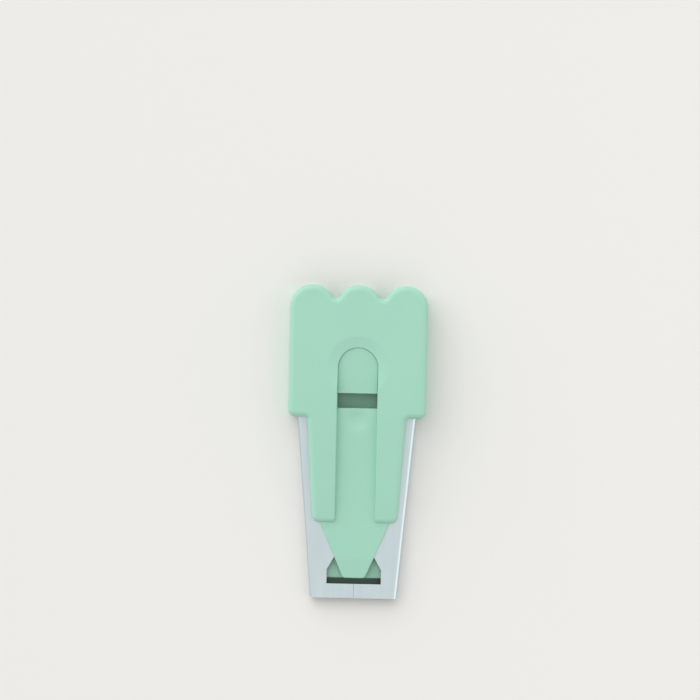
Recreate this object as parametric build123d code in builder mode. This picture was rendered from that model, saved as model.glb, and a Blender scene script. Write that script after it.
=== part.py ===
from build123d import *
import math
import os

# Bias tape maker, 25 mm. The folded tape leaves towards -Y, the cloth strip enters from +Y,
# and the tool lies on its underside, z = 0. Every size is in millimetres.

# What passes through the tool
tape_width = 25.0           # folded tape at the mouth
tape_play = 1.4             # room beside the tape, both sides together
web_width = 11.0            # fusible web fed in through the top
web_play = 1.6              # room beside the web, both sides together

# Stations, measured along the tool from its mouth
core_front = 6.3            # front end of the core
tongue_front = 6.35         # tip of the guide's tongue
tongue_bend = 12.6          # where the tongue starts to dip into the window
rail_front = 23.9           # front end of the two rails
tongue_rear = 24.6          # where the tongue is as wide as the guide
dish_centre = 56.6          # centre of the finger dish
handle_front = 57.2         # front face of the handle
guide_crest = 58.9          # behind this the guide's plate is level
web_slot_front = 60.2       # front edge of the web slot
web_slot_rear = 64.9        # rear edge of the web slot
folder_rear = 72.0          # rear end of the sheet-metal folder
ramp_centre = 73.0          # centre of the ramp's round end
crest = 75.0                # behind this the top of the handle is level
guide_rear = 82.0           # rear end of the web guide
core_rear = 90.5            # rear end of the core
tool_length = 99.0          # peaks of the lobes

# Sheet-metal folder
sheet = 0.5                 # thickness of the nickel-plated steel
folder_height = 3.8         # outer height of the flattened sleeve
folder_taper = 0.0887       # what each side spreads per millimetre of length
folder_bend = 1.1           # outer radius of the folded sides
seam_gap = 0.08             # between the two flaps at the mouth
window_front = 4.5          # front edge of the window
window_shoulder = 9.0       # where the window starts to narrow
window_width = 17.2
window_slant = 0.575        # what each side of the window narrows per millimetre
flap_room = 0.3             # between the web and each flap, under the tongue
flap_step_front = 20.0      # where the flaps start to step apart
flap_step_rear = 23.5       # where the step ends
flap_step = 0.8             # what each flap steps back there

# Core round which the cloth folds
core_lift = 1.6             # underside of the core above the table
core_thickness = 1.0
core_side_gap = 1.0         # between the core and the folder's inner side
core_corner = 5.0           # rounding of its rear corners, in plan
core_edge = 0.3             # bevel of its front and rear edges
neck_play = 0.1             # between the neck and the socket of the guide

# Web guide
guide_width = 22.6          # over the flanges that lie under the rails
guide_plate = 1.2           # thickness of the plate
guide_leg = 1.5             # width of the legs beside the web
guide_corner = 2.0          # rounding of its rear corners, in plan
tongue_tip_width = 6.9
tongue_tip_rise = 0.2       # top of the tip above the flaps
tongue_tip_thickness = 1.05
plate_bend = 12.0           # radius of the gentle bends in the plate
tongue_lift = 0.2           # underside of the tongue above the flaps
tongue_edge = 0.45          # rounding of the tongue's upper edges
ramp_depth = 0.8            # top of the ramp's round end below the handle's top
ramp_edge = 0.12            # bevel round the ramp's upper edge
dish_radius = 5.0           # round finger dish in front of the web slot
dish_depth = 0.7
dish_rise = 0.02            # edge of the dish's cutter above the plate
slot_edge = 0.25            # bevel of the web slot's front edge
socket_wall = 1.0           # front and rear ribs of the neck's socket
socket_depth = 1.5

# Handle
side_wall = 2.16            # side walls of the handle, beside the cloth's passage
handle_height = 10.0
lobe_gap = 0.75             # least distance between the circles of two lobes
valley_radius = 1.5         # hollow between two lobes
handle_corner = 2.2         # front corners, in plan
rim_radius = 1.8            # rounding of the upper edges
base_rim = 0.6              # bevel of the lower edges
seam_bevel = 0.2            # bevel along the seam between the covers
roof = 1.8                  # thickness of the top wall
front_wall = 1.8            # thickness of the handle's front wall
floor = 1.0                 # thickness of the bottom cover's floor
rail_front_width = 27.0     # over both rails at their front end
rail_rear_width = 31.4      # over both rails at the handle
rail_front_height = 6.6     # top of the rails at their front end
rail_roof = 1.0             # thickness of the rails over the guide, at their front end
channel_depth = 2.0         # from the handle's top to the guide, at the handle's front face
rail_root = 1.0             # hollow where a rail meets the handle's front face
channel_play = 0.03         # between the web guide and the cover round it
channel_edge = 0.25         # bevel of the channel's upper edges
scoop_radius = 9.8          # shallow scoop round the ramp's round end
scoop_depth = 0.9
folder_fit = 0.15           # between the folder and the bottom cover
lap_width = 0.7             # rib that locks the two covers together
lap_height = 0.9
lap_play = 0.05
lap_inset = 0.5             # from the handle's side to the rib
lap_front = 60.0
lap_rear = 89.0

# Modelling
past_end = 5.0              # how far a cutting shape runs past what it cuts
near = 0.01                 # how close a corner or an edge counts as being in a place
upward = 0.9                # least upward share of the normal of an upper face

# Stakes that hold the folder under the top cover
stake_spread = 28.0         # between the two rows
stake_station = 66.0
pad_width = 4.4             # pads of the top cover that bear on the flaps
pad_length = 11.0
stake_radius = 1.0
stake_play = 0.1
stake_head_radius = 1.7
stake_head = 0.3


def along(station):
    """Y of a station that is measured from the mouth."""
    return station - tool_length / 2


def folder_half(station):
    """Outer half width of the folder."""
    return (tape_width + tape_play) / 2 + sheet + folder_taper * station


def rim_of(builder):
    """Edges that bound the upper faces of a part, without those between two upper faces."""
    upper = [face for face in builder.faces() if face.normal_at().Z > upward]
    return [edge for edge in builder.edges() if sum(1 for face in upper if edge in face.edges()) == 1]


passage_half = folder_half(folder_rear) - sheet
handle_width = 2 * (passage_half + side_wall)

# Profile of the handle's top: an arc that runs out level at the crest
crown_drop = handle_height - rail_front_height
crown_run = crest - rail_front
crown_radius = (crown_run**2 + crown_drop**2) / (2 * crown_drop)
crown_sweep = math.degrees(math.asin((crown_run + past_end) / crown_radius))
crown_centre = (along(crest), handle_height - crown_radius)


def crown_height(station):
    """Top of the handle or of the rails, in front of the crest."""
    return handle_height - crown_radius + math.sqrt(crown_radius**2 - (crest - station) ** 2)


guide_front_height = rail_front_height - rail_roof
guide_rise = crown_height(handle_front) - channel_depth - guide_front_height
guide_slope = guide_rise / (handle_front - rail_front)


def plate_height(station):
    """Top of the web guide's sloping plate."""
    return guide_front_height + guide_slope * (station - rail_front)


def rail_half(station):
    """Outer half width over the rails."""
    share = (station - rail_front) / (handle_front - rail_front)
    return (rail_front_width + share * (rail_rear_width - rail_front_width)) / 2


web_half = (web_width + web_play) / 2
channel_half = web_half + channel_play
core_top = core_lift + core_thickness
guide_half = guide_width / 2
guide_seat_height = plate_height(guide_crest)
neck_front = web_slot_rear + socket_wall + neck_play
neck_rear = ramp_centre + web_half - socket_wall
neck_top = guide_seat_height - guide_plate
neck_half = web_half - neck_play
tongue_tip_height = folder_height + tongue_tip_rise
stake_spots = [(side * stake_spread / 2, along(stake_station)) for side in (-1, 1)]
lap_spots = [
    (side * (handle_width / 2 - lap_inset - lap_width / 2), along((lap_front + lap_rear) / 2))
    for side in (-1, 1)
]
lap_length = lap_rear - lap_front
ramp_height = handle_height - ramp_depth

# Finger dish: a hollow arc that runs out over two flats, turned about an axis square to the plate
dish_bend = ((dish_radius / 2) ** 2 + (dish_depth / 2) ** 2) / dish_depth
dish_turn = math.asin(dish_radius / 2 / dish_bend)
dish_sweep = math.degrees(dish_turn)
dish_brow = (dish_radius - dish_bend * math.sin(dish_turn / 2), dish_bend * (math.cos(dish_turn / 2) - 1))
dish_plane = Plane(
    origin=(0, along(dish_centre), plate_height(dish_centre) + dish_rise),
    x_dir=(0, 1, guide_slope),
    z_dir=(1, 0, 0),
)

# Outline of the handle, with the three lobes at its rear
lobe_radius = (handle_width / 2 - lobe_gap) / 3
lobe_y = along(tool_length) - lobe_radius
lobe_x = handle_width / 2 - lobe_radius
valley_rise = math.sqrt((lobe_radius + valley_radius) ** 2 - (lobe_x / 2) ** 2)
valley_angle = math.degrees(math.atan2(valley_rise, lobe_x / 2))
side_x = handle_width / 2
front_y = along(handle_front)

with BuildSketch() as handle_outline:
    with BuildLine():
        CenterArc((0, lobe_y), lobe_radius, valley_angle, 90 - valley_angle)
        CenterArc(
            (lobe_x / 2, lobe_y + valley_rise), valley_radius, 180 + valley_angle, 180 - 2 * valley_angle
        )
        CenterArc((lobe_x, lobe_y), lobe_radius, 0, 180 - valley_angle)
        Line((side_x, lobe_y), (side_x, front_y + handle_corner))
        CenterArc((side_x - handle_corner, front_y + handle_corner), handle_corner, -90, 90)
        Line((side_x - handle_corner, front_y), (0, front_y))
        mirror(about=Plane.YZ)
    make_face()

# Outline of the top cover: the handle and the two rails in front of it
with BuildSketch() as cover_outline:
    add(handle_outline.sketch)
    with BuildLine():
        Polyline(
            (-rail_half(rail_front), along(rail_front)),
            (rail_half(rail_front), along(rail_front)),
            (rail_half(handle_front + rail_root), front_y + rail_root),
            (-rail_half(handle_front + rail_root), front_y + rail_root),
            close=True,
        )
    make_face()
    rail_ends = cover_outline.vertices().group_by(Axis.Y)[0]
    fillet(rail_ends, radius=handle_corner)
    roots = [
        vertex
        for vertex in cover_outline.vertices().filter_by_position(Axis.Y, front_y - near, front_y + near)
        if abs(vertex.X) < rail_half(handle_front) + near
    ]
    fillet(roots, radius=rail_root)

# Outline of the U-shaped cut-out and of the ramp that fills its round end
with BuildSketch() as channel_outline:
    with BuildLine():
        Line((-channel_half, along(rail_front) - past_end), (channel_half, along(rail_front) - past_end))
        Line((channel_half, along(rail_front) - past_end), (channel_half, along(ramp_centre)))
        CenterArc((0, along(ramp_centre)), channel_half, 0, 180)
        Line((-channel_half, along(ramp_centre)), (-channel_half, along(rail_front) - past_end))
    make_face()

# Room inside the folder
with BuildPart() as folder_room:
    with BuildSketch(Plane.XY.offset(sheet)):
        with BuildLine():
            Polyline(
                (-folder_half(-past_end) + sheet, along(-past_end)),
                (folder_half(-past_end) - sheet, along(-past_end)),
                (folder_half(folder_rear + past_end) - sheet, along(folder_rear + past_end)),
                (-folder_half(folder_rear + past_end) + sheet, along(folder_rear + past_end)),
                close=True,
            )
        make_face()
    extrude(amount=folder_height - 2 * sheet)
    room_sides = [edge for edge in folder_room.edges() if edge.length > folder_rear]
    fillet(room_sides, radius=folder_bend - sheet)

# Folder: one sheet, folded into a flat tapering sleeve whose two flaps meet at the mouth
with BuildPart() as tape_folder:
    with BuildSketch(Plane.XY):
        with BuildLine():
            Polyline(
                (-folder_half(0), along(0)),
                (folder_half(0), along(0)),
                (folder_half(folder_rear), along(folder_rear)),
                (-folder_half(folder_rear), along(folder_rear)),
                close=True,
            )
        make_face()
    extrude(amount=folder_height)
    folder_sides = [edge for edge in tape_folder.edges() if edge.length > folder_rear]
    fillet(folder_sides, radius=folder_bend)
    add(folder_room.part, mode=Mode.SUBTRACT)
    with BuildSketch(Plane.XY.offset(folder_height / 2)) as flap_gap:
        with BuildLine():
            window_half = window_width / 2
            web_gap = web_width / 2 + flap_room
            window_rear = window_shoulder + (window_half - web_gap) / window_slant
            Polyline(
                (0, along(-past_end)),
                (seam_gap / 2, along(-past_end)),
                (seam_gap / 2, along(window_front)),
                (window_half, along(window_front)),
                (window_half, along(window_shoulder)),
                (web_gap, along(window_rear)),
                (web_gap, along(flap_step_front)),
                (web_gap + flap_step, along(flap_step_rear)),
                (web_gap + flap_step, along(folder_rear + past_end)),
                (0, along(folder_rear + past_end)),
            )
            mirror(about=Plane.YZ)
        make_face()
    extrude(amount=folder_height, mode=Mode.SUBTRACT)
    with BuildSketch(Plane.XY.offset(folder_height / 2)) as stake_holes:
        with Locations(*stake_spots):
            Circle(stake_radius + stake_play)
    extrude(amount=folder_height, mode=Mode.SUBTRACT)
tape_folder.part.label = "tape_folder"

# Core: a thin plate inside the folder, with a neck that plugs into the web guide
with BuildPart() as fabric_core:
    with BuildSketch(Plane.XY.offset(core_lift)):
        with BuildLine():
            front_half = folder_half(core_front) - sheet - core_side_gap
            rear_half = folder_half(folder_rear) - sheet - core_side_gap
            Polyline(
                (-front_half, along(core_front)),
                (front_half, along(core_front)),
                (rear_half, along(folder_rear)),
                (rear_half, along(core_rear)),
                (-rear_half, along(core_rear)),
                (-rear_half, along(folder_rear)),
                close=True,
            )
        make_face()
    extrude(amount=core_thickness)
    fillet(fabric_core.edges().filter_by(Axis.Z).group_by(Axis.Y)[-1], radius=core_corner)
    chamfer(fabric_core.edges().filter_by(Axis.X).group_by(Axis.Y)[0], length=core_edge)
    chamfer(fabric_core.edges().filter_by(Axis.X).group_by(Axis.Y)[-1], length=core_edge)
    with BuildSketch(Plane.XY.offset(core_top)):
        with Locations((0, along((neck_front + neck_rear) / 2))):
            Rectangle(2 * neck_half, neck_rear - neck_front)
    extrude(amount=neck_top - core_top)
fabric_core.part.label = "fabric_core"

# Loading ramp behind the web slot, which fills the round end of the cut-out
with BuildPart() as loading_ramp:
    with BuildSketch(Plane.YZ):
        with BuildLine():
            Polyline(
                (along(web_slot_rear), neck_top + guide_plate / 2),
                (along(web_slot_rear), guide_seat_height),
                (along(ramp_centre + web_half), ramp_height),
                (along(ramp_centre + web_half), neck_top + guide_plate / 2),
                close=True,
            )
        make_face()
    extrude(amount=web_half, both=True)
    with BuildSketch(Plane.XY):
        with BuildLine():
            Line((-web_half, along(web_slot_rear)), (web_half, along(web_slot_rear)))
            Line((web_half, along(web_slot_rear)), (web_half, along(ramp_centre)))
            CenterArc((0, along(ramp_centre)), web_half, 0, 180)
            Line((-web_half, along(ramp_centre)), (-web_half, along(web_slot_rear)))
        make_face()
    extrude(amount=handle_height, mode=Mode.INTERSECT)
    ramp_rim = [edge for edge in rim_of(loading_ramp) if edge.center().Y > along(web_slot_rear) + near]
    chamfer(ramp_rim, length=ramp_edge)

# Web guide: channel floor, web slot and loading ramp, with a tongue that dips into the window
with BuildPart() as web_guide:
    with BuildSketch(Plane.YZ) as plate_side:
        with BuildLine():
            tongue_under = folder_height + tongue_lift
            tip_under = tongue_tip_height - tongue_tip_thickness
            Polyline(
                (along(tongue_front), tip_under),
                (along(tongue_front), tongue_tip_height),
                (along(tongue_bend), plate_height(tongue_bend)),
                (along(guide_crest), guide_seat_height),
                (along(guide_rear), guide_seat_height),
                (along(guide_rear), neck_top),
                (along(guide_crest), neck_top),
                (along(tongue_rear), guide_front_height - guide_plate),
                (along(tongue_bend), tongue_under),
                close=True,
            )
        make_face()
        bends = [
            vertex
            for vertex in plate_side.vertices()
            if vertex.Y > tongue_tip_height
            and along(tongue_bend) - near < vertex.X < along(guide_crest) + near
        ]
        fillet(bends, radius=plate_bend)
    extrude(amount=guide_half, both=True)
    with BuildSketch(Plane.XY) as plate_outline:
        with BuildLine():
            Polyline(
                (-tongue_tip_width / 2, along(tongue_front)),
                (tongue_tip_width / 2, along(tongue_front)),
                (guide_half, along(tongue_rear)),
                (guide_half, along(guide_rear)),
                (-guide_half, along(guide_rear)),
                (-guide_half, along(tongue_rear)),
                close=True,
            )
        make_face()
        fillet(plate_outline.vertices().group_by(Axis.Y)[-1], radius=guide_corner)
        fillet(plate_outline.vertices().group_by(Axis.Y)[0], radius=guide_plate)
    extrude(amount=handle_height, mode=Mode.INTERSECT)
    fillet([edge for edge in rim_of(web_guide) if edge.center().Y < along(tongue_rear)], radius=tongue_edge)
    with BuildSketch(Plane.XY):
        with Locations((0, along((web_slot_front + web_slot_rear) / 2))):
            Rectangle(2 * web_half, web_slot_rear - web_slot_front)
    extrude(amount=handle_height, mode=Mode.SUBTRACT)
    slot_front = web_guide.edges().filter_by(Axis.X).filter_by_position(
        Axis.Y, along(web_slot_front) - near, along(web_slot_front) + near
    )
    chamfer(slot_front.sort_by(Axis.Z)[-1], length=slot_edge)
    with BuildSketch(dish_plane):
        with BuildLine():
            CenterArc((0, dish_bend - dish_depth), dish_bend, -90, dish_sweep)
            Polyline(
                (dish_radius / 2, -dish_depth / 2),
                dish_brow,
                (dish_radius, 0),
                (dish_radius, dish_radius),
                (0, dish_radius),
                (0, -dish_depth),
            )
        make_face()
    revolve(axis=Axis(dish_plane.origin, dish_plane.y_dir), mode=Mode.SUBTRACT)
    for side in (-1, 1):
        with BuildSketch(Plane.YZ.offset(side * (web_half + guide_leg / 2))):
            with BuildLine():
                Polyline(
                    (along(rail_front), folder_height),
                    (along(neck_rear + socket_wall), folder_height),
                    (along(neck_rear + socket_wall), neck_top + guide_plate / 2),
                    (along(guide_crest), neck_top + guide_plate / 2),
                    (along(rail_front), guide_front_height - guide_plate / 2),
                    close=True,
                )
            make_face()
        extrude(amount=guide_leg / 2, both=True)
    add(loading_ramp.part)
    for station in (neck_front - neck_play - socket_wall / 2, neck_rear + neck_play + socket_wall / 2):
        with BuildSketch(Plane.XY.offset(neck_top - socket_depth)):
            with Locations((0, along(station))):
                Rectangle(2 * web_half + guide_leg, socket_wall)
        extrude(amount=socket_depth + guide_plate / 2)
web_guide.part.label = "web_guide"

# Top cover: the handle's upper shell and the two rails beside the channel
with BuildPart() as top_cover:
    with BuildSketch(Plane.XY.offset(folder_height)):
        add(cover_outline.sketch)
    extrude(amount=handle_height)
    with BuildSketch(Plane.YZ):
        with BuildLine():
            crown = CenterArc(crown_centre, crown_radius, 90, crown_sweep)
            Line((along(crest), handle_height), (along(tool_length + past_end), handle_height))
            Polyline(
                (along(tool_length + past_end), handle_height),
                (along(tool_length + past_end), 0),
                ((crown @ 1).X, 0),
                ((crown @ 1).X, (crown @ 1).Y),
            )
        make_face()
    extrude(amount=handle_width, both=True, mode=Mode.INTERSECT)
    fillet(rim_of(top_cover), radius=rim_radius)
    chamfer(top_cover.faces().sort_by(Axis.Z)[0].edges(), length=seam_bevel)
    with BuildSketch(Plane.YZ):
        with BuildLine():
            inner_radius = crown_radius - roof
            cavity_run = crest - handle_front - front_wall
            cavity_sweep = math.degrees(math.asin(cavity_run / inner_radius))
            vault = CenterArc(crown_centre, inner_radius, 90, cavity_sweep)
            Line((along(crest), handle_height - roof), (along(tool_length + past_end), handle_height - roof))
            Polyline(
                (along(tool_length + past_end), handle_height - roof),
                (along(tool_length + past_end), 0),
                ((vault @ 1).X, 0),
                ((vault @ 1).X, (vault @ 1).Y),
            )
        make_face()
    extrude(amount=passage_half, both=True, mode=Mode.SUBTRACT)
    with BuildSketch(Plane.YZ):
        with BuildLine():
            Polyline(
                (along(rail_front - past_end), 0),
                (along(rail_front - past_end), plate_height(rail_front - past_end)),
                (along(guide_crest), guide_seat_height),
                (along(guide_crest + front_wall), guide_seat_height),
                (along(guide_crest + front_wall), 0),
                close=True,
            )
        make_face()
    extrude(amount=guide_half + channel_play, both=True, mode=Mode.SUBTRACT)
    with BuildSketch(Plane.XY):
        add(channel_outline.sketch)
    extrude(amount=2 * handle_height, mode=Mode.SUBTRACT)
    channel_rim = [
        edge
        for edge in top_cover.edges()
        if max(abs(edge.bounding_box().min.X), abs(edge.bounding_box().max.X)) < channel_half + near
        and edge.bounding_box().max.Y < along(ramp_centre) + channel_half + near
        and edge.bounding_box().size.Y > channel_edge
        and edge.center().Z > plate_height(edge.center().Y - along(0)) + channel_play
    ]
    chamfer(channel_rim, length=channel_edge)
    scoop_sphere = (scoop_radius**2 + scoop_depth**2) / (2 * scoop_depth)
    with Locations((0, along(ramp_centre), handle_height - scoop_depth + scoop_sphere)):
        Sphere(scoop_sphere, mode=Mode.SUBTRACT)
    with BuildSketch(Plane.XY.offset(folder_height)):
        with Locations(*stake_spots):
            Rectangle(pad_width, pad_length)
    extrude(amount=handle_height - roof / 2 - folder_height)
    with BuildSketch(Plane.XY.offset(folder_height - sheet)):
        with Locations(*stake_spots):
            Circle(stake_radius)
    extrude(amount=sheet)
    with BuildSketch(Plane.XY.offset(folder_height - sheet - stake_head)):
        with Locations(*stake_spots):
            Circle(stake_head_radius)
    extrude(amount=stake_head)
    with BuildSketch(Plane.XY.offset(folder_height)):
        with Locations(*lap_spots):
            Rectangle(lap_width + 2 * lap_play, lap_length + 2 * lap_play)
    extrude(amount=lap_height + lap_play, mode=Mode.SUBTRACT)
top_cover.part.label = "top_cover"

# Bottom cover: the floor behind the folder and the two side walls beside it
with BuildPart() as bottom_cover:
    with BuildSketch(Plane.XY):
        add(handle_outline.sketch)
    extrude(amount=folder_height)
    chamfer(bottom_cover.faces().sort_by(Axis.Z)[0].edges(), length=base_rim)
    chamfer(bottom_cover.faces().sort_by(Axis.Z)[-1].edges(), length=seam_bevel)
    with BuildSketch(Plane.XY) as folder_bed:
        with BuildLine():
            bed_front = handle_front - past_end
            bed_rear = folder_rear + 2 * folder_fit
            Polyline(
                (-folder_half(bed_front) - folder_fit, along(bed_front)),
                (folder_half(bed_front) + folder_fit, along(bed_front)),
                (folder_half(bed_rear) + folder_fit, along(bed_rear)),
                (-folder_half(bed_rear) - folder_fit, along(bed_rear)),
                close=True,
            )
        make_face()
    extrude(amount=folder_height, mode=Mode.SUBTRACT)
    with BuildSketch(Plane.XY.offset(floor)):
        with BuildLine():
            Polyline(
                (-passage_half, along(folder_rear)),
                (passage_half, along(folder_rear)),
                (passage_half, along(tool_length + past_end)),
                (-passage_half, along(tool_length + past_end)),
                close=True,
            )
        make_face()
    extrude(amount=folder_height, mode=Mode.SUBTRACT)
    with BuildSketch(Plane.XY.offset(folder_height)):
        with Locations(*lap_spots):
            Rectangle(lap_width, lap_length)
    extrude(amount=lap_height)
bottom_cover.part.label = "bottom_cover"

os.makedirs("parts", exist_ok=True)
export_step(tape_folder.part, "parts/tape_folder.step")
export_step(fabric_core.part, "parts/fabric_core.step")
export_step(web_guide.part, "parts/web_guide.step")
export_step(top_cover.part, "parts/top_cover.step")
export_step(bottom_cover.part, "parts/bottom_cover.step")
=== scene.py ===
"""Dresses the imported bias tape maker: plated sheet metal, moulded plastic, stage, light and camera."""
import math

import bpy
from bpy.props import FloatProperty, FloatVectorProperty, PointerProperty
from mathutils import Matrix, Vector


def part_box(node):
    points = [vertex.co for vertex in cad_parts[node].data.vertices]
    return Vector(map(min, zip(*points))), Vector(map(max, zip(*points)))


bl_info = {
    "name": "Bias Tape Maker",
    "version": (1, 0, 0),
    "blender": (4, 5, 0),
    "location": "3D View > Sidebar > Tape Maker",
    "description": "Finishes a 25 mm bias tape folder in plated steel and moulded mint plastic",
    "category": "Object",
}

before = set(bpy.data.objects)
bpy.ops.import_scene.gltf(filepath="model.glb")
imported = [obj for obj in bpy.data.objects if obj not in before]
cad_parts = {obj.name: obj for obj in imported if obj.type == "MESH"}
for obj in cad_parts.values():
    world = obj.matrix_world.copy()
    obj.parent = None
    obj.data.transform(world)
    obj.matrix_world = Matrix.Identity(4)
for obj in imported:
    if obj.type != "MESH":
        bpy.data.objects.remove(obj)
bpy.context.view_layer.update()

MM = 0.001
MINT_MOULDINGS = ("top_cover", "bottom_cover", "web_guide")
EDGE_SAMPLES = 8                # rays that feel out how near an edge is

# Moulded plastic
ABS_IOR = 1.54
FLOW_CLOUD = 14 * MM            # width of the clouds that the melt leaves as it fills the mould
FLOW_TONES = (0.975, 1.02)      # brightness of the clouds, from deep to pale
FLOW_GLOSS = 0.04               # how far the clouds move the roughness, each way
GRAIN_DEPTH = 0.06 * MM         # drawn as coarse as the grain's spacing

# Plated sheet
LINE_STRETCH = 50.0             # length of a rolling line over its width
LINE_DEPTH = 0.01 * MM          # height of the rolling lines
PLATE_CLOUD = 9 * MM            # width of the cloudy patches in the plate
PLATE_TONES = (0.97, 1.04)      # brightness of lines and patches together, from dull to bright
PLATE_TONE_RANGE = (0.7, 1.3)   # sums of lines and patches that get these two tones
PLATE_GLOSS = (-0.05, 0.07)     # how far the patches move the roughness
ACROSS_THE_TOOL = (1.0, 0.0, 1.0)   # leaves out how far along the tool a point is
INSIDE_LIMIT = -0.1 * MM        # a little under the 0 of the sheet's two ends, so that they count as outside

# Stage
FLOOR_SIZE = 6.0
GLOW_DIRECTION = (-0.60, 0.68, 0.42)
GLOW_EDGE = 0.35                # cosine of the angle from the glow's middle where only the even sky is left
WHITE = (1.0, 1.0, 1.0, 1.0)
SENSOR_WIDTH = 36.0             # of the camera, in millimetres
VIEW_WIDTH = 222.5 * MM         # width of the floor that the picture shows
VIEW_CENTRE = (-2.66 * MM, 29.0 * MM)   # point of the floor under the camera
CLIP = (0.01, 20.0)             # nearest and farthest that the camera sees


def linear(code):
    """The linear red, green and blue of an sRGB hex code."""
    parts = [int(code[i:i + 2], 16) / 255 for i in (1, 3, 5)]
    return [c / 12.92 if c <= 0.04045 else ((c + 0.055) / 1.055) ** 2.4 for c in parts]


def rgba(colour, brightness=1.0):
    """A colour, made darker or brighter, with full alpha."""
    return (*(min(1.0, c * brightness) for c in colour), 1.0)


def add_node(tree, kind, inputs=None, **settings):
    """Adds a node with its settings, and gives each input a value or a link from a socket."""
    node = tree.nodes.new(kind)
    for name, value in settings.items():
        setattr(node, name, value)
    for name, value in (inputs or {}).items():
        if isinstance(value, bpy.types.NodeSocket):
            tree.links.new(value, node.inputs[name])
        else:
            node.inputs[name].default_value = value
    return node


def new_material(name):
    """An empty material, its node tree and its output node."""
    material = bpy.data.materials.new(name)
    material.use_nodes = True
    tree = material.node_tree
    tree.nodes.clear()
    return material, tree, add_node(tree, "ShaderNodeOutputMaterial")


def wear(obj, material):
    """Gives an object one material."""
    obj.data.materials.clear()
    obj.data.materials.append(material)


class MouldedPlastic(bpy.types.PropertyGroup):
    """The moulded ABS of the handle, the guide and the core."""

    colour: FloatVectorProperty(
        name="Colour", description="Colour of the mint plastic", subtype="COLOR",
        default=linear("#a3d8c1"), min=0, max=1,
    )
    # The core is the handle's mint plastic; its darker colour is painted shade for its place inside the
    # folder.
    core_colour_painted_shade: FloatVectorProperty(
        name="Core colour", description="Colour of the core inside the folder", subtype="COLOR",
        default=linear("#90bea8"), min=0, max=1,
    )
    roughness: FloatProperty(
        name="Roughness", description="Roughness of the moulded skin", subtype="FACTOR",
        default=0.34, min=0, max=1,
    )
    grain: FloatProperty(
        name="Mould grain", description="Spacing of the grain that the mould leaves",
        default=0.6 * MM, subtype="DISTANCE", unit="LENGTH",
    )
    edge: FloatProperty(
        name="Edge", description="Rounding of the moulded edges",
        default=0.12 * MM, subtype="DISTANCE", unit="LENGTH",
    )


class PlatedSheet(bpy.types.PropertyGroup):
    """The nickel-plated sheet of the folder."""

    colour: FloatVectorProperty(
        name="Colour", description="Colour of the nickel plate", subtype="COLOR",
        default=linear("#c5d2d5"), min=0, max=1,
    )
    # Dark greenish colour painted inside the folder as shade, with the green of light bounced off the core;
    # the roughness below goes with it.
    inside_painted_shade_colour: FloatVectorProperty(
        name="Bare colour", description="Colour of the dull inside of the sheet", subtype="COLOR",
        default=linear("#5c6f64"), min=0, max=1,
    )
    inside_roughness: FloatProperty(
        name="Bare roughness", description="Roughness inside the folder", subtype="FACTOR",
        default=0.6, min=0, max=1,
    )
    roughness: FloatProperty(
        name="Roughness", description="Roughness of the plated sheet", subtype="FACTOR",
        default=0.3, min=0, max=1,
    )
    grain: FloatProperty(
        name="Rolling grain", description="Spacing of the sheet's rolling lines",
        default=0.6 * MM, subtype="DISTANCE", unit="LENGTH",
    )
    edge: FloatProperty(
        name="Edge", description="Rounding of the cut edges",
        default=0.08 * MM, subtype="DISTANCE", unit="LENGTH",
    )


class Studio(bpy.types.PropertyGroup):
    """Floor, light and camera."""

    floor_colour: FloatVectorProperty(
        name="Floor", description="Colour of the floor", subtype="COLOR",
        default=linear("#f1f0ec"), min=0, max=1,
    )
    sky_strength: FloatProperty(
        name="Sky", description="Strength of the even light from above", default=0.54, min=0
    )
    glow_strength: FloatProperty(
        name="Glow", description="Strength of the sky low down at the rear left", default=1.75, min=0
    )
    key_power: FloatProperty(
        name="Key light", description="Power of the soft box at the rear left",
        default=12.0, min=0, subtype="POWER", unit="POWER",
    )
    key_size: FloatProperty(
        name="Key size", description="Side length of the soft box at the rear left",
        default=3.0, subtype="DISTANCE", unit="LENGTH",
    )
    key_place: FloatVectorProperty(
        name="Key place", description="Middle of the soft box at the rear left",
        default=(-1.9, 2.1, 1.25), subtype="TRANSLATION", unit="LENGTH",
    )
    fill_power: FloatProperty(
        name="Fill light", description="Power of the soft box at the right",
        default=9.0, min=0, subtype="POWER", unit="POWER",
    )
    fill_size: FloatProperty(
        name="Fill size", description="Side length of the soft box at the right",
        default=2.5, subtype="DISTANCE", unit="LENGTH",
    )
    fill_place: FloatVectorProperty(
        name="Fill place", description="Middle of the soft box at the right",
        default=(1.6, 0.1, 1.1), subtype="TRANSLATION", unit="LENGTH",
    )
    camera_height: FloatProperty(
        name="Camera height", description="Height of the camera above the floor",
        default=0.9, subtype="DISTANCE", unit="LENGTH",
    )
    camera_lean: FloatProperty(
        name="Camera lean", description="Turn of the camera about the vertical",
        default=math.radians(1.2), subtype="ANGLE", unit="ROTATION",
    )


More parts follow.
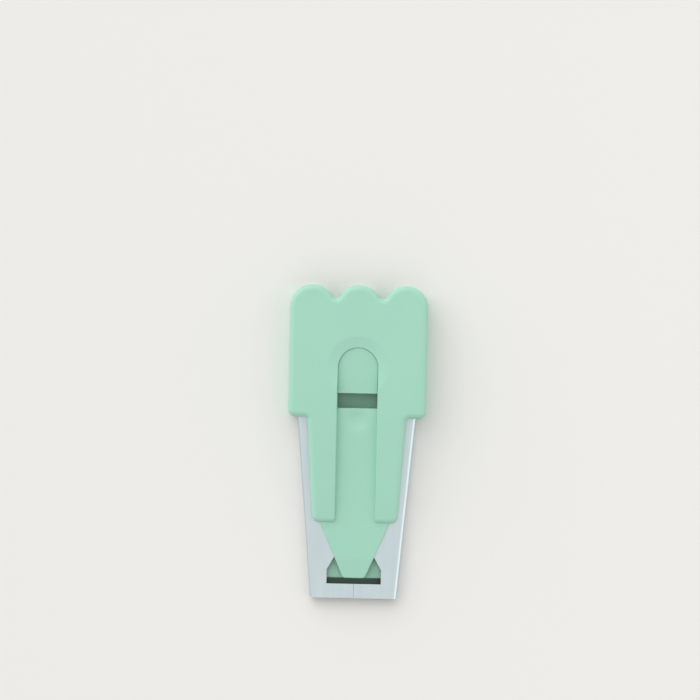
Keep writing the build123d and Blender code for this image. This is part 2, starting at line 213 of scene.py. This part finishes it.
def moulded_plastic(name, colour, settings):
    """ABS, injection moulded in a spark-eroded mould."""
    # The eye sees an even satin skin with a fine grain, and faint clouds where the melt flowed. A real
    # grain is about 0.1 mm wide. It is drawn several times as coarse, so that it shows in the picture.
    material, tree, output = new_material(name)
    place = add_node(tree, "ShaderNodeTexCoord").outputs["Object"]
    flow = add_node(tree, "ShaderNodeTexNoise", {"Vector": place, "Scale": 1 / FLOW_CLOUD, "Detail": 2.0})
    deep, pale = FLOW_TONES
    tint = add_node(
        tree, "ShaderNodeMix",
        {"Factor": flow.outputs["Fac"], "A": rgba(colour, deep), "B": rgba(colour, pale)}, data_type="RGBA",
    )
    grain = add_node(
        tree, "ShaderNodeTexNoise", {"Vector": place, "Scale": 1 / settings.grain, "Detail": 3.0}
    )
    soft_edge = add_node(tree, "ShaderNodeBevel", {"Radius": settings.edge}, samples=EDGE_SAMPLES)
    bump = add_node(
        tree, "ShaderNodeBump",
        {
            "Height": grain.outputs["Fac"], "Strength": 1.0, "Distance": GRAIN_DEPTH,
            "Normal": soft_edge.outputs["Normal"],
        },
    )
    gloss = add_node(
        tree, "ShaderNodeMapRange",
        {
            "Value": flow.outputs["Fac"],
            "To Min": settings.roughness - FLOW_GLOSS, "To Max": settings.roughness + FLOW_GLOSS,
        },
    )
    shader = add_node(
        tree, "ShaderNodeBsdfPrincipled",
        {
            "Base Color": tint.outputs["Result"], "Roughness": gloss.outputs["Result"],
            "Normal": bump.outputs["Normal"], "IOR": ABS_IOR,
        },
    )
    tree.links.new(shader.outputs["BSDF"], output.inputs["Surface"])
    return material


def inside_of_folder(tree, place):
    """A socket that is 1 where the folder's surface faces the line through its middle, and 0 elsewhere."""
    # Seen from that line, the product of a point's place and its normal is negative on such a surface.
    low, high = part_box("tape_folder")
    from_middle = add_node(
        tree, "ShaderNodeVectorMath", {0: place, 1: (0.0, 0.0, (low.z + high.z) / 2)}, operation="SUBTRACT"
    )
    across = add_node(
        tree, "ShaderNodeVectorMath", {0: from_middle.outputs["Vector"], 1: ACROSS_THE_TOOL},
        operation="MULTIPLY",
    )
    facing = add_node(
        tree, "ShaderNodeVectorMath",
        {0: across.outputs["Vector"], 1: add_node(tree, "ShaderNodeNewGeometry").outputs["True Normal"]},
        operation="DOT_PRODUCT",
    )
    inside = add_node(
        tree, "ShaderNodeMath", {0: facing.outputs["Value"], 1: INSIDE_LIMIT}, operation="LESS_THAN"
    )
    return inside.outputs["Value"]


def plated_sheet(name, settings):
    """Nickel plate on cold-rolled steel sheet, with a dark colour painted inside as shade."""
    # The eye sees a bright grey satin with fine lines along the rolling direction, and a dark greenish
    # inside that is painted shade. Real rolling lines are under 0.1 mm apart, and are drawn coarser so that
    # they show.
    material, tree, output = new_material(name)
    place = add_node(tree, "ShaderNodeTexCoord").outputs["Object"]
    along_roll = add_node(tree, "ShaderNodeMapping", {"Vector": place, "Scale": (1.0, 1 / LINE_STRETCH, 1.0)})
    lines = add_node(
        tree, "ShaderNodeTexNoise",
        {"Vector": along_roll.outputs["Vector"], "Scale": 1 / settings.grain, "Detail": 4.0},
    )
    clouds = add_node(tree, "ShaderNodeTexNoise", {"Vector": place, "Scale": 1 / PLATE_CLOUD, "Detail": 3.0})
    soft_edge = add_node(tree, "ShaderNodeBevel", {"Radius": settings.edge}, samples=EDGE_SAMPLES)
    bump = add_node(
        tree, "ShaderNodeBump",
        {
            "Height": lines.outputs["Fac"], "Strength": 1.0, "Distance": LINE_DEPTH,
            "Normal": soft_edge.outputs["Normal"],
        },
    )
    smoother, rougher = PLATE_GLOSS
    gloss = add_node(
        tree, "ShaderNodeMapRange",
        {
            "Value": clouds.outputs["Fac"],
            "To Min": settings.roughness + smoother, "To Max": settings.roughness + rougher,
        },
    )
    streaks = add_node(
        tree, "ShaderNodeMath", {0: lines.outputs["Fac"], 1: clouds.outputs["Fac"]}, operation="ADD"
    )
    lowest, highest = PLATE_TONE_RANGE
    brightness = add_node(
        tree, "ShaderNodeMapRange",
        {"Value": streaks.outputs["Value"], "From Min": lowest, "From Max": highest},
    )
    dull, bright = PLATE_TONES
    plate = add_node(
        tree, "ShaderNodeMix",
        {
            "Factor": brightness.outputs["Result"],
            "A": rgba(settings.colour, dull), "B": rgba(settings.colour, bright),
        },
        data_type="RGBA",
    )
    # Where the surface faces into the folder, the plate gives way to the painted shade colour and its
    # roughness.
    inside = inside_of_folder(tree, place)
    tint = add_node(
        tree, "ShaderNodeMix",
        {"Factor": inside, "A": plate.outputs["Result"], "B": rgba(settings.inside_painted_shade_colour)}, data_type="RGBA",
    )
    finish = add_node(
        tree, "ShaderNodeMix",
        {"Factor": inside, "A": gloss.outputs["Result"], "B": settings.inside_roughness}, data_type="FLOAT",
    )
    shader = add_node(
        tree, "ShaderNodeBsdfPrincipled",
        {
            "Base Color": tint.outputs["Result"], "Metallic": 1.0, "Roughness": finish.outputs["Result"],
            "Normal": bump.outputs["Normal"],
        },
    )
    tree.links.new(shader.outputs["BSDF"], output.inputs["Surface"])
    return material


def soft_sky(studio):
    """An even sky with a glow low down at the rear left, which looks plain white to the camera."""
    world = bpy.data.worlds.new("soft_sky")
    world.use_nodes = True
    tree = world.node_tree
    tree.nodes.clear()
    path = add_node(tree, "ShaderNodeLightPath")
    toward_glow = add_node(
        tree, "ShaderNodeVectorMath",
        {0: add_node(tree, "ShaderNodeTexCoord").outputs["Generated"], 1: GLOW_DIRECTION},
        operation="DOT_PRODUCT",
    )
    strength = add_node(
        tree, "ShaderNodeMapRange",
        {
            "Value": toward_glow.outputs["Value"], "From Min": GLOW_EDGE,
            "To Min": studio.sky_strength, "To Max": studio.glow_strength,
        },
    ).outputs["Result"]
    # The camera, every reflection and anything clear show a plain white sky instead.
    for ray in ("Is Camera Ray", "Is Glossy Ray", "Is Transmission Ray"):
        strength = add_node(
            tree, "ShaderNodeMix", {"Factor": path.outputs[ray], "A": strength, "B": 1.0}, data_type="FLOAT"
        ).outputs["Result"]
    background = add_node(tree, "ShaderNodeBackground", {"Color": WHITE, "Strength": strength})
    add_node(tree, "ShaderNodeOutputWorld", {"Surface": background.outputs["Background"]})
    return world


class TAPEMAKER_OT_plate_folder(bpy.types.Operator):
    """Gives the sheet-metal folder its nickel plate, with painted shade inside"""

    bl_idname = "tapemaker.plate_folder"
    bl_label = "Plate the Folder"

    def execute(self, context):
        wear(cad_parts["tape_folder"], plated_sheet("nickel_plate_painted_inside_shade", context.scene.tape_metal))
        return {"FINISHED"}


class TAPEMAKER_OT_mould_handle(bpy.types.Operator):
    """Gives the two handle covers and the guide their moulded skin"""

    bl_idname = "tapemaker.mould_handle"
    bl_label = "Mould the Handle"

    def execute(self, context):
        settings = context.scene.tape_plastic
        skin = moulded_plastic("mint_abs", settings.colour, settings)
        for name in MINT_MOULDINGS:
            wear(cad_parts[name], skin)
        return {"FINISHED"}


class TAPEMAKER_OT_mould_core(bpy.types.Operator):
    """Gives the core inside the folder its moulded skin, darkened as painted shade"""

    bl_idname = "tapemaker.mould_core"
    bl_label = "Mould the Core"

    def execute(self, context):
        settings = context.scene.tape_plastic
        # The core's darker colour is painted shade for the hollow inside the folder.
        wear(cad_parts["fabric_core"], moulded_plastic("core_abs_painted_shade", settings.core_colour_painted_shade, settings))
        return {"FINISHED"}


class TAPEMAKER_OT_set_stage(bpy.types.Operator):
    """Lays the floor and sets the light and the camera"""

    bl_idname = "tapemaker.set_stage"
    bl_label = "Set the Stage"

    def execute(self, context):
        studio = context.scene.tape_studio
        self.lay_floor(context, studio)
        context.scene.world = soft_sky(studio)
        self.hang_lamp(context, "key_box", studio.key_power, studio.key_size, studio.key_place)
        self.hang_lamp(context, "fill_box", studio.fill_power, studio.fill_size, studio.fill_place)
        self.place_camera(context, studio)
        context.scene.view_settings.view_transform = "Standard"
        return {"FINISHED"}

    def lay_floor(self, context, studio):
        """A plain matt floor under the tool."""
        bpy.ops.object.select_all(action="DESELECT")
        bpy.ops.mesh.primitive_plane_add(size=FLOOR_SIZE, location=(0, 0, 0))
        floor = context.object
        floor.name = "floor"
        material, tree, output = new_material("paper_floor")
        shader = add_node(tree, "ShaderNodeBsdfDiffuse", {"Color": rgba(studio.floor_colour)})
        tree.links.new(shader.outputs["BSDF"], output.inputs["Surface"])
        wear(floor, material)

    def hang_lamp(self, context, name, power, size, place):
        """A square soft box that faces the middle of the tool."""
        box = bpy.data.lights.new(name, "AREA")
        box.shape = "SQUARE"
        box.size = size
        box.energy = power
        lamp = bpy.data.objects.new(name, box)
        lamp.location = place
        lamp.rotation_euler = (-lamp.location).to_track_quat("-Z", "Y").to_euler()
        context.collection.objects.link(lamp)

    def place_camera(self, context, studio):
        """A camera that looks straight down."""
        lens = bpy.data.cameras.new("camera")
        lens.sensor_width = SENSOR_WIDTH
        lens.lens = SENSOR_WIDTH * studio.camera_height / VIEW_WIDTH
        lens.clip_start, lens.clip_end = CLIP
        camera = bpy.data.objects.new("camera", lens)
        camera.location = (*VIEW_CENTRE, studio.camera_height)
        camera.rotation_euler = (0, 0, studio.camera_lean)
        context.collection.objects.link(camera)
        context.scene.camera = camera


STEPS = (
    TAPEMAKER_OT_plate_folder,
    TAPEMAKER_OT_mould_handle,
    TAPEMAKER_OT_mould_core,
    TAPEMAKER_OT_set_stage,
)


class TAPEMAKER_PT_panel(bpy.types.Panel):
    """Sizes, colours and steps of the tape maker"""

    bl_idname = "TAPEMAKER_PT_panel"
    bl_label = "Tape Maker"
    bl_space_type = "VIEW_3D"
    bl_region_type = "UI"
    bl_category = "Tape Maker"

    def draw(self, context):
        for group in (context.scene.tape_plastic, context.scene.tape_metal, context.scene.tape_studio):
            box = self.layout.box()
            for name in group.bl_rna.properties.keys():
                if name not in ("rna_type", "name"):
                    box.prop(group, name)
        for step in STEPS:
            self.layout.operator(step.bl_idname)


CLASSES = (MouldedPlastic, PlatedSheet, Studio, *STEPS, TAPEMAKER_PT_panel)


def register():
    for cls in CLASSES:
        bpy.utils.register_class(cls)
    bpy.types.Scene.tape_plastic = PointerProperty(type=MouldedPlastic)
    bpy.types.Scene.tape_metal = PointerProperty(type=PlatedSheet)
    bpy.types.Scene.tape_studio = PointerProperty(type=Studio)


def unregister():
    del bpy.types.Scene.tape_studio
    del bpy.types.Scene.tape_metal
    del bpy.types.Scene.tape_plastic
    for cls in reversed(CLASSES):
        bpy.utils.unregister_class(cls)


def main():
    """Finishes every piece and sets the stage."""
    register()
    bpy.ops.tapemaker.plate_folder()
    bpy.ops.tapemaker.mould_handle()
    bpy.ops.tapemaker.mould_core()
    bpy.ops.tapemaker.set_stage()


if __name__ == "__main__":
    main()
